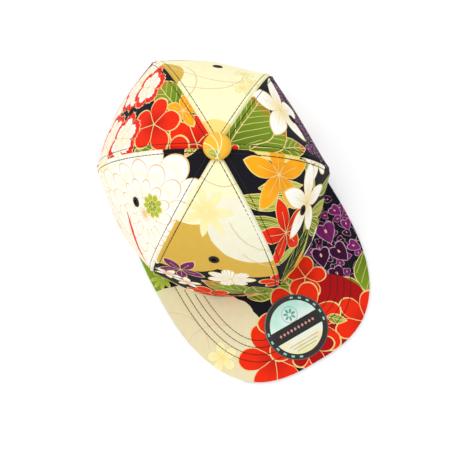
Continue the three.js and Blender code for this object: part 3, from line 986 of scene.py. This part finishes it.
def makeButtonCover():
    polar = np.linspace(pi / 2, 0, button["steps"] + 1)
    reach = button["radius"] * np.sin(polar) ** button["full"]
    rise = button["gap"] + button["skirt"] * 0.75 + (button["dome"] + button["skirt"] * 0.25) * np.cos(polar)
    hem = [(button["radius"] - inset * mm, height * mm) for inset, height in button["hem"]]
    profile = np.concatenate([hem, np.stack([reach, rise], axis=-1)])
    reach, rise = profile[:, :1], profile[:, 1:]
    turn = np.linspace(0, 2 * pi, button["columns"])
    fold = button["foldDepth"] * np.exp(-(rise / button["foldHeight"]) ** 2) * np.cos(button["folds"] * turn)
    around = reach + fold * (reach > button["foldFrom"])
    points = np.stack([around * np.cos(turn), around * np.sin(turn) + crown["lean"] + frameShift,
                       rise + crown["height"] + 0 * turn], axis=-1)
    run = runAlong(profile)
    spread = (run[-1] - run)[:, None] / mm
    flat = np.stack([spread * np.cos(turn), spread * np.sin(turn)], axis=-1)
    clothPiece("button_cloth", points, "button_cover", "print_cloth", button["cloth"],
               shades["button"], flat=flat, soft=60, closed=True)


makeButtonCover()
print("button made")


# Brim.
def brimEdge(inset=0.0):      # from the left heel round the front to the right one
    turn = np.linspace(-pi / 2, pi / 2, brim["columns"])
    across = np.sign(np.sin(turn)) * np.abs(np.sin(turn)) ** (2 / brim["power"])
    ahead = np.clip(np.cos(turn), 0, 1) ** (2 / brim["power"])
    front = np.stack([brim["halfWidth"] * across, brim["rootY"] - brim["reach"] * ahead], axis=-1)
    heel = np.linspace(0, 1, 12)[:-1, None]
    left = np.array([-brim["heelHalfWidth"], brim["heelY"]]) * (1 - heel) + front[0] * heel
    edge = np.concatenate([left, front, (left * (-1, 1))[::-1]])
    along = runAlong(edge)
    edge = pointAt(np.linspace(0, along[-1], brim["columns"]), along, edge)
    if inset:
        ahead = unit(np.gradient(edge, axis=0))
        moved = edge + np.stack([-ahead[:, 1], ahead[:, 0]], axis=-1) * inset
        gaps = np.linalg.norm(moved[:, None] - edge[None], axis=-1).min(axis=1)
        head = (moved / (crown["halfWidth"] + mm, crown["halfLength"] + mm)) ** 2
        edge = moved[(gaps > inset - 0.1 * mm) & (head.sum(axis=1) > 1)]
    return edge


def headEdge(places):      # the point of the head opening in each place's direction
    angle = np.arctan2(places[:, 0], -places[:, 1])
    reach = ovalRadius(angle, brim["innerDepth"])
    return np.stack([reach * np.sin(angle), -reach * np.cos(angle)], axis=-1)


def makeBrimCover(name, upper):
    outer = brimEdge()
    inner = headEdge(outer)
    across = outer - inner
    across = across / np.maximum(np.linalg.norm(across, axis=-1, keepdims=True), 1e-6) * brim["tuck"]
    share = (np.linspace(0, 1, brim["rows"]) ** 0.85)[:, None, None]
    plan = inner * (1 - share) + (outer - across) * share
    toEdge = np.linalg.norm(plan[:, :, None] - outer[None, None, ::4], axis=-1).min(axis=2)
    dent = sum(brim["stitchDent"] * np.exp(-((toEdge - row * mm) / brim["dentWidth"]) ** 2)
               for row in brim["stitchRows"])
    sway = brim["sway"] * (1 + np.sin(plan[..., 0] * 70) * np.sin(plan[..., 1] * 60 + 1))
    height = brim["top"] - dent - sway if upper else dent + brim["underGap"]
    points = [np.concatenate([plan, height[..., None]], axis=-1)]
    for step in range(1, brim["edgeSteps"] + 1):      # over the edge to half of the board's height
        turn = step / brim["edgeSteps"] * pi / 2
        drop = (brim["top"] / 2 - brim["joinGap"]) * (1 - cos(turn))
        height = np.full((len(outer), 1), brim["top"] - drop if upper else drop)
        points.append(np.concatenate([outer - across * (1 - sin(turn)), height], axis=-1)[None])
    points = np.concatenate(points)
    flat = points[..., :2] * (1, -1) / mm
    points[..., 1] += frameShift
    if upper:
        points, flat = points[::-1], flat[::-1]
    clothPiece(name + "_cloth", points, name + "_cover", "print_cloth", brim["thick"], shades[name],
               flat=flat, soft=60)


def sewBrim(name, height, out, lift):
    rows = []
    for row in brim["stitchRows"]:
        edge = brimEdge(row * mm)
        path = np.concatenate([edge + (0, frameShift), np.full((len(edge), 1), height)], axis=-1)
        rows.append((path, np.tile([0, 0, out], (len(path), 1))))
    sewnRows(name + "_stitches", rows, shades["thread"], lift)


brimRows = {      # height, direction out of the cloth, lift
    "brim_upper": (brim["top"] - 0.26 * mm, 1.0, 0.05 * mm),
    "brim_lower": (0.22 * mm, -1.0, -0.03 * mm),
}
makeBrimCover("brim_upper", True)
makeBrimCover("brim_lower", False)
for name, row in brimRows.items():
    sewBrim(name, *row)
print("brim made")


# Sticker on the brim: printed foil with a painted iridescent sheen, a plain wheel of strokes, a bar of beads
# and ruled lines.
sticker = {
    "radius": 25 * mm, "thick": 0.28 * mm, "y": -140.5 * mm, "lift": 0.05 * mm, "columns": 145,
    "rings": [0, 0.2, 0.4, 0.6, 0.75, 0.88, 0.95, 0.985, 1.0], "frameFrom": 20.6, "edgeFrom": 24.3,
    # foil: the colours of the painted iridescent sheen, from the side toward the brim's edge to the side
    # toward the crown
    "foil": [(0.1, "f6ecae"), (0.35, "f7f6dc"), (0.62, "e4f7f2"), (0.9, "b9ecd9")],
}


def foilShade():
    material, bench, surface = newShade("sticker_foil")
    place = clothPlace(bench)
    x, y = place.parts()
    reach = place.length()
    glow = clouds(place, 0.07, 1.0)
    # painted iridescent sheen: pale yellow toward the brim's edge, through white, to mint toward the crown,
    # shifted by clouds
    stops = [(stop, ink(code)) for stop, code in sticker["foil"]]
    sheen = glow.node("ShaderNodeValToRGB", {"stops": stops}, {"Fac": y * 0.022 + glow})
    colour = plainInk(bench, ink("f7f7ea")).mix(sheen, 0.9)
    for row in range(3):      # fine rules below the bar
        rule = (abs(y + 11.6 + row * 2.4) < 0.28).both(abs(x) < 13 - row * 2.2)
        colour = colour.mix(ink("c9555a") if row == 0 else ink("6d7f78"), rule * 0.7)
    angle = x.maths("ARCTAN2", y - 10.5, x)
    crest = placed(place, (0, 10.5), 5).length()
    strokes = (abs((angle * 3.5).cosine()) ** 0.7 > crest).both(crest > 0.3)
    colour = colour.mix(ink("2f9a86"), strokes * 0.85)
    colour = colour.mix(ink("2f9a86"), (abs(crest - 1.25) < 0.05) * 0.7)
    bar = abs(y + 1.0) < 5.2
    colour = colour.mix(ink("1d1513"), bar)
    beads = abs((x / 3.2).fract() - 0.5) * 3.2 + abs(y + 1.0) * 0.8 < 1.1
    colour = colour.mix(ink("d99a8c"), beads.both(abs(x) < 16))
    border = reach > sticker["frameFrom"]
    colour = colour.mix(ink("27211f"), border)
    turn = x.maths("ARCTAN2", y, x)
    marks = ((turn * 22).sine() > 0.35).both(abs(reach - 22.6) < 0.7).both((turn * 2 + 0.6).sine() > -0.2)
    colour = colour.mix(ink("8fd9c4"), marks)
    colour = colour.mix(ink("4a4340"), reach > sticker["edgeFrom"])
    feed(surface, {
        "Base Color": colour, "Roughness": glow * 0.15 + 0.16,
        "Metallic": (reach < sticker["edgeFrom"]) * 0.35, "Coat Weight": 0.5, "Coat Roughness": 0.08})
    bumped(surface, border + bar * 0.5 + glow * 2, 0.03 * mm)
    return material


def makeSticker():
    turn = np.linspace(0, 2 * pi, sticker["columns"])
    rim, thick = sticker["radius"], sticker["thick"]
    base = brim["top"] + brim["clear"]
    rows = []
    for share in sticker["rings"]:
        lip = thick * (1 if share < 0.99 else 0.45)
        rise = base + lip + sticker["lift"] * share ** 6 * (1 + np.cos(2 * turn + 0.8))
        rows.append(np.stack([rim * share * np.cos(turn), rim * share * np.sin(turn), rise], axis=-1))
    rows.append(rows[-1] * (1, 1, 0) + (0, 0, base))
    rows.append(rows[-1] * (0, 0, 1))
    points = np.array(rows)[::-1]
    flat = points[..., :2] / mm
    piece = gridPiece("sticker_disc", points + (0, sticker["y"] + frameShift, 0), flat, closed=True)
    smooth(piece, 45)
    wear(piece, foilShade())
    fit(piece, ["brim_sticker"])


makeSticker()
print("sticker made")


# Sweatband, its interlining and the label.
band = {
    "depth": 6.35 * mm, "thick": 0.8 * mm, "top": 33 * mm, "endX": 46 * mm, "endHeight": 15 * mm,
    "foot": 0.75 * mm, "footShare": 0.8, "rimDepth": 1.3 * mm, "brimDepth": 3.0 * mm,
    "turnUp": 3.2 * mm, "stitchRows": (7 * mm, 31 * mm), "dent": 0.3 * mm, "dentWidth": 0.9 * mm,
    "stitchSunk": 0.35 * mm, "wave": 0.35 * mm, "columns": 420,
}
liner = {"depth": 5.15 * mm, "thick": 0.8 * mm, "bottom": 4.5 * mm, "top": 32.2 * mm, "setback": 0.01}
label = {
    "angle": radians(142), "width": 32 * mm, "bottom": 9 * mm, "top": 29 * mm, "depth": 7.55 * mm,
    "lift": 0.2 * mm, "curl": 0.5 * mm, "wave": 0.15 * mm, "thick": 0.25 * mm,
}


def bandEnd():
    angles = np.linspace(pi / 2, pi, 4000)
    trace = crownPoint(angles, fallAt(band["endHeight"]), band["depth"])[:, 0]
    return float(angles[np.argmin(np.abs(trace - band["endX"]))])


def bandRows(angle, profile):      # profile: pairs of depth and height, one row each
    return np.array([crownPoint(angle, fallAt(height), depth) for depth, height in profile])


def makeSweatband(end):
    angle = np.linspace(-end, end, band["columns"])
    start = band["rimDepth"] + (band["brimDepth"] - band["rimDepth"]) * overBrim(angle)
    width = band["depth"] - start
    profile = [(start + width * share, band["foot"]) for share in np.linspace(0, band["footShare"], 6)]
    for step in range(1, 8):      # the fold where it turns up inside
        turn = step / 7 * pi / 2
        share = band["footShare"] + (1 - band["footShare"]) * sin(turn)
        profile.append((start + width * share, band["foot"] + band["turnUp"] * (1 - cos(turn))))
    low = profile[-1][1]
    for share in np.linspace(0, 1, 30)[1:]:
        height = low + (band["top"] - low) * share
        wave = band["wave"] * np.sin(angle * 9 + share * 2) * np.sin(pi * share)
        dents = sum(band["dent"] * np.exp(-((height - row) / band["dentWidth"]) ** 2)
                    for row in band["stitchRows"])
        profile.append((band["depth"] + wave * 0.5 - dents, height))
    points = bandRows(angle, profile)[:, ::-1]      # the good side faces the head
    clothPiece("sweatband_cloth", points, "sweatband", "sweatband_cloth", band["thick"], shades["band"],
               side=1)
    rows = []
    for height in band["stitchRows"]:
        fall = fallAt(height)
        path = crownPoint(angle, fall, band["depth"] + band["thick"] - band["stitchSunk"])
        rows.append((path, unit(crownPoint(angle, fall, 20 * mm) - crownPoint(angle, fall, 0))))
    sewnRows("sweatband_stitches", rows, shades["bandThread"])


def makeInterlining(end):
    angle = np.linspace(liner["setback"] - end, end - liner["setback"], 300)
    profile = [(liner["depth"], height) for height in np.linspace(liner["bottom"], liner["top"], 14)]
    clothPiece("interlining_felt", bandRows(angle, profile), "sweatband_interlining", "interlining",
               liner["thick"], shades["lining"])


def makeLabel():
    half = label["width"] / 2 / float(ovalRadius(label["angle"]) - label["depth"])
    angle = label["angle"] + half * np.linspace(1, -1, 50)
    profile = []
    for share in np.linspace(0, 1, 30):
        curl = label["curl"] * np.exp(-(share / 0.12) ** 2) + label["wave"] * np.sin(share * 9 + angle * 8)
        profile.append((label["depth"] + label["lift"] + curl,
                        label["bottom"] + (label["top"] - label["bottom"]) * share))
    clothPiece("label_satin", bandRows(angle, profile), "care_label", "label_satin", label["thick"],
               shades["satin"])


makeSweatband(bandEnd())
makeInterlining(bandEnd())
makeLabel()
print("sweatband made")


# Inside: seam tapes, stiffening and the binding of the arch.
tape = {
    "width": 18 * mm, "depth": 2.25 * mm, "thick": 0.5 * mm, "start": 17.5 * mm, "bottom": 2.2 * mm,
    "rows": 120, "columns": 21, "stitchAt": 3 * mm, "puff": 0.25 * mm, "puffWidth": 6 * mm,
    "slack": 0.1 * mm, "inset": 2 * mm, "flatTop": radians(12), "overArch": 1.2 * mm,
    "overArchStitch": 2.5 * mm, "stitchLift": 0.02 * mm, "least": 12 * mm, "turnFrom": 0.35, "turnOver": 0.4,
}
tapeAcross = np.linspace(-tape["width"] / 2, tape["width"] / 2, tape["columns"])


def tapePiece(points, node):
    clothPiece(node + "_twill", points, node, "seam_tape", tape["thick"], shades["tape"])


def tapeDepth():      # tapes bulge a little between their two rows of stitches
    bulge = np.cos(np.clip(tapeAcross / tape["puffWidth"], -1, 1) * pi / 2)
    return tape["depth"] + tape["slack"] + tape["puff"] * bulge


def tapeBottom(seam):
    return hemHeight(seamAngles[seam]) + tape["bottom"] - panel["hem"]


def tapeTop(seam, inset=0.0):
    return fallOut((tape["start"] + inset) / ovalRadius(seamAngles[seam]))


def sideTape(seam, name):
    fall = np.linspace(fallAt(tapeBottom(seam)), tapeTop(seam), tape["rows"])[:, None]
    angle = seamAngles[seam] + tapeAcross / reachAt(seamAngles[seam], fall)
    tapePiece(crownPoint(angle, fall, tapeDepth()), name)


def planPoint(x, y, depth):      # the point of the crown above a place on its plan, near the top
    angle = np.arctan2(x, -y)
    fall = np.full_like(angle, 0.3)
    for _ in range(12):
        share = np.hypot(x, y) / (ovalRadius(angle) * creaseAt(angle, fall))
        fall = fallOut(np.clip(share, 1e-6, 1))
    return crownPoint(angle, fall, depth)


def centreTape():      # from the front hem over the top to the arch
    depth = tapeDepth()
    rows = []
    low = fallAt(arch["height"] + tape["overArch"])
    for fall in np.linspace(-fallAt(tapeBottom(0)), low, 2 * tape["rows"]):
        seam, sign = (0.0, 1) if fall < 0 else (pi, -1)
        steep = abs(fall)
        reach = reachAt(seam, max(steep, 1e-6))
        onTop = planPoint(tapeAcross, np.full_like(tapeAcross, -sign * reach) + 1e-7, depth)
        turn = np.arcsin(np.clip(tapeAcross / max(reach, tape["least"]), -0.9, 0.9))
        onWall = crownPoint(seam + sign * turn, steep, depth)
        share = eased((steep - tape["turnFrom"]) / tape["turnOver"])
        rows.append(onTop * (1 - share) + onWall * share)
    tapePiece(np.array(rows), "centre_seam_tape")


def tapeStitches():
    runs = [(seam, tapeTop(seam, tape["inset"]), tapeBottom(seam) + tape["inset"]) for seam in (1, 2, 4, 5)]
    runs.append((0, tape["flatTop"], tapeBottom(0) + tape["inset"]))
    runs.append((3, tape["flatTop"], arch["height"] + tape["overArchStitch"]))
    depth = tape["depth"] + tape["thick"] + tape["stitchLift"]
    paths = [seamPath(seam, offset, top, fallAt(low), depth, inside=True)
             for seam, top, low in runs for offset in (-tape["stitchAt"], tape["stitchAt"])]
    sewnRows("seam_tape_stitches", paths, shades["bandThread"])


centreTape()
for seam, name in {1: "front_left", 2: "back_left", 4: "back_right", 5: "front_right"}.items():
    sideTape(seam, name + "_seam_tape")
tapeStitches()

buckram = {
    "inset": 3 * mm, "bottom": 6 * mm, "topRadius": 12 * mm, "depth": 1.3 * mm, "thick": 0.5 * mm,
    "holeRoom": 0.6 * mm,
}


def makeBuckram(index):
    name = sides[index] + "_buckram"
    top = fallOut(buckram["topRadius"] / crown["halfWidth"])
    angle, fall = panelGrid(index, top, buckram["bottom"], buckram["inset"])
    clothPiece(name + "_mesh", crownPoint(angle, fall, buckram["depth"]), name, "buckram",
               buckram["thick"], shades["buckram"], cutters=[eyeletDrill(index, buckram["holeRoom"])])


makeBuckram(sides.index("front_left"))
makeBuckram(sides.index("front_right"))


def archPath(offset, low):      # the arch's outline, `offset` outside its edge
    spring = arch["height"] - arch["halfWidth"]
    radius = arch["halfWidth"] + offset
    turn = np.linspace(0, pi, 181)
    up = np.linspace(low, spring, 12)[:-1]
    across = [np.full_like(up, radius), radius * np.cos(turn), np.full_like(up, -radius)]
    return np.concatenate(across), np.concatenate([up, spring + radius * np.sin(turn), up[::-1]])


def makeArchTape():
    rows = []
    for share in np.linspace(1, 0, 16):
        x, z = archPath(arch["tapeFrom"] + (arch["tapeWidth"] - 0.5 * mm) * share, arch["tapeLow"])
        rows.append(wallPoint(x, z, arch["tapeDepth"] + arch["puff"] * np.sin(pi * share)))
    clothPiece("arch_tape_twill", np.array(rows), "arch_tape", "seam_tape", arch["tapeThick"],
               shades["tape"])


def sewArch():
    outside, inside = [], []
    for offset in arch["stitchRows"]:
        x, z = archPath(offset, arch["stitchLow"])
        wall = wallPoint(x, z, 0.0)
        outs = unit(wall - wallPoint(x, z, 3 * mm))
        angle = np.arctan2(wall[:, 0], frameShift - wall[:, 1])
        outside.append((wall - outs * clothDepth(angle, fallAt(z))[:, None], outs))
        inside.append((wallPoint(x, z, arch["insideDepth"]), -outs))
    sewnRows("arch_stitches", outside, shades["thread"])
    sewnRows("arch_tape_stitches", inside, shades["bandThread"])


makeArchTape()
sewArch()
print("inside made")


# Snap closure: each strap is one moulding with its sewn root.
strap = {
    "bottom": 2 * mm, "top": 20 * mm, "hingeX": 40 * mm, "tabEndX": 56 * mm, "step": radians(4.8),
    "marks": range(-2, 5), "tipSteps": 2.5, "holeRadius": 3.05 * mm, "thick": 1.15 * mm,
    "corner": 6 * mm, "holeDepth": 2.1 * mm, "studDepth": 3.6 * mm, "bend": 7 * mm,
    "bendFrom": 1.5 * mm, "edge": 0.28 * mm, "columns": 150, "rows": 14,
    "stud": [(0.0, -0.6), (1.9, -0.6), (1.9, -0.1), (1.6, 0.2), (1.55, 0.6), (1.75, 0.9), (2.05, 1.2),
             (2.0, 1.6), (1.6, 2.05), (0.9, 2.3), (0.0, 2.35)],      # reach and rise, in millimetres
}
strapHeight = (strap["bottom"] + strap["top"]) / 2


def strapMiddle(index, depth):      # the middle of a hole or stud, and the direction out of it
    angle = pi - index * strap["step"]
    fall = fallAt(strapHeight)
    out = unit(crownPoint(angle, fall, 0.0) - crownPoint(angle, fall, 5 * mm))
    return crownPoint(angle, fall, depth), out


def strapShape(name, side, depth):      # side 1 is rooted at +X
    tip = -side * crown["halfLength"] * sin(strap["tipSteps"] * strap["step"])
    x = np.linspace(side * strap["tabEndX"], tip, strap["columns"])
    bend = np.clip(strap["corner"] - np.abs(x - tip), 0, strap["corner"])
    half = (strap["top"] - strap["bottom"]) / 2 - strap["corner"]
    half = half + np.sqrt(np.maximum(strap["corner"] ** 2 - bend ** 2, 0))
    z = strapHeight + np.linspace(-1, 1, strap["rows"])[:, None] * half[None, :]
    points = wallPoint(np.broadcast_to(x, z.shape), z, depth)
    if side < 0:
        points = points[:, ::-1]
    return gridPiece(name + "_moulding", points)


def makeStud(index, depth):
    centre, out = strapMiddle(index, depth)
    along = unit(np.cross((0, 0, 1), out))
    up = np.cross(out, along)
    turn = np.linspace(0, 2 * pi, 33)[:, None]
    rows = [centre + (along * np.cos(turn) + up * np.sin(turn)) * reach * mm + out * rise * mm
            for reach, rise in strap["stud"]]
    return gridPiece("stud", np.array(rows), closed=True)


def makeStrap(name, side, depth):
    piece = strapShape(name, side, depth)
    if piece.data.polygons[len(piece.data.polygons) // 2].normal.y < 0:
        piece.data.flip_normals()
    thicken(piece, strap["thick"])
    if side > 0:
        for index in strap["marks"]:
            centre, out = strapMiddle(index, depth)
            cutWith(piece, drillAt(centre, out, strap["holeRadius"], 6 * mm, 40))
    modify(piece, "BEVEL", width=strap["edge"], segments=2, limit_method="ANGLE", angle_limit=radians(55))
    if side < 0:
        studs = [makeStud(-index, depth) for index in strap["marks"]]
        only(piece)
        for stud in studs:
            stud.select_set(True)
        bpy.ops.object.join()
    smooth(piece, 40)
    wear(piece, shades["snap"])
    fit(piece, [name, name + "_tab"], None)
    start, end = [wallPoint(side * (strap["hingeX"] + strap["bendFrom"] - bend), strapHeight, depth)
                  for bend in (0, strap["bend"])]
    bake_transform(piece)


makeStrap("hole_strap", 1, strap["holeDepth"])
makeStrap("stud_strap", -1, strap["studDepth"])
print("straps made")


# Frame pieces that keep their shape.
for name, shade in {"button_shell": "metal", "button_back": "metal", "brim_board": "board"}.items():
    wear(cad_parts[name], shades[shade])


# Camera, light and floor.
view = {
    "place": (-0.03526, -0.06617, 0.3266), "turn": (10.556, 0.377, -29.049), "lens": 31.31,
    "nearest": 0.01,
}
lamps = [
    # name, place, size, watts, colour
    ("windowLight", (-0.45, 0.35, 1.05), 1.3, 9.5, (1, 0.99, 0.97)),
    ("fillLight", (0.95, 0.15, 0.7), 1.1, 3.6, (0.97, 0.98, 1)),
    ("frontLight", (-0.25, -1.05, 0.6), 0.9, 3.0, (1, 1, 1)),
]
room = {
    "aim": (0, 0, 0.03), "sky": (0.97, 0.98, 1, 1), "skyStrength": 0.6, "floorSize": 4,
    "floorZ": -0.3 * mm, "floor": (0.97, 0.97, 0.97, 1), "shade": (0.93, 0.93, 0.93, 1),
}


def setStage():
    nothingSelected()
    bpy.ops.object.camera_add(location=view["place"], rotation=[radians(a) for a in view["turn"]])
    camera = bpy.context.object
    camera.data.lens = view["lens"]
    camera.data.clip_start = view["nearest"]
    bpy.context.scene.camera = camera
    for name, place, size, watts, colour in lamps:
        bpy.ops.object.light_add(type="AREA", location=place)
        lamp = bpy.context.object
        lamp.name = name
        lamp.data.size = size
        lamp.data.energy = watts
        lamp.data.color = colour
        aim = Vector(room["aim"]) - Vector(place)
        lamp.rotation_euler = aim.to_track_quat("-Z", "Y").to_euler()
    world = bpy.data.worlds.new("paleRoom")
    world.use_nodes = True
    sky = world.node_tree.nodes["Background"]
    sky.inputs["Color"].default_value = room["sky"]
    sky.inputs["Strength"].default_value = room["skyStrength"]
    bpy.context.scene.world = world
    bpy.context.scene.view_settings.view_transform = "Standard"


def makeFloor():
    nothingSelected()
    bpy.ops.mesh.primitive_plane_add(size=room["floorSize"], location=(0, 0, room["floorZ"]))
    floor = applied()
    floor.name = "floor"
    material, bench, surface = newShade("pale_floor")
    base = plainInk(bench, room["floor"])
    cloud = clouds(objectPlace(bench), 3.0, 2.0)
    feed(surface, {"Base Color": base.mix(room["shade"], cloud * 0.3), "Roughness": 0.8})
    wear(floor, material)


setStage()
makeFloor()
